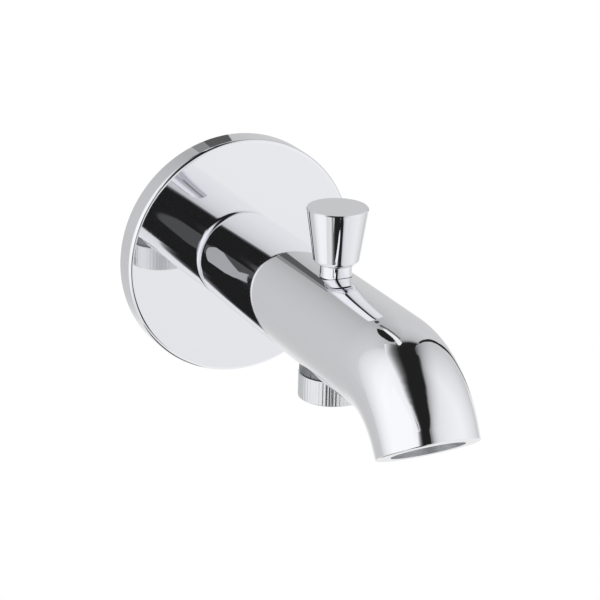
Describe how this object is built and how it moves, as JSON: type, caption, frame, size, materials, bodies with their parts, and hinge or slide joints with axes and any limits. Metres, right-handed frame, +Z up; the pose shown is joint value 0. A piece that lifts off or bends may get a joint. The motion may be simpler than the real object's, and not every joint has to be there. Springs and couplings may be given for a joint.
{
  "type": "bath spout",
  "caption": "Wall-mounted bath spout: round rose, straight tube bending down to a recessed outlet, pull-up diverter knob on top and a knurled shower connection below.",
  "frame": {"origin": "centre of the rose's back, where the inlet thread leaves the wall plane", "axes": "+Z up; the wall is the plane Y = 0, the inlet thread points along +Y into the wall and the spout reaches out along -Y"},
  "size_m": [0.09, 0.1935, 0.09],
  "materials": {
    "chrome": "polished",
    "brass": "turned",
    "rubber": "matte",
    "spring_steel": "drawn wire",
    "white_plastic": "moulded"
  },
  "bodies": {
    "spout": {"spout_body": "chrome", "wall_rose": "chrome", "guide_bush": "chrome", "shower_connector": "chrome", "aerator_housing": "chrome", "inlet_nipple": "brass", "rose_gasket": "rubber", "rose_seal": "rubber", "inlet_seal": "rubber", "bush_seal": "rubber", "stem_seal": "rubber", "connector_seal": "rubber", "aerator_seal": "rubber", "diverter_spring": "spring_steel", "aerator_screen": "spring_steel", "aerator_insert": "white_plastic"},
    "diverter": {"diverter_knob": "chrome", "diverter_stem": "brass", "valve_disc": "brass", "bath_washer": "rubber", "shower_washer": "rubber", "stem_nut": "brass"}
  },
  "joints": [
    {"name": "diverter_lift", "type": "slide", "parent": "spout", "child": "diverter", "axis": [0, 0, 1], "range_m": [0, 0.008], "stiffness_N_per_m": 150, "springref_m": -0.01, "deforming": ["diverter_spring"]}
  ]
}
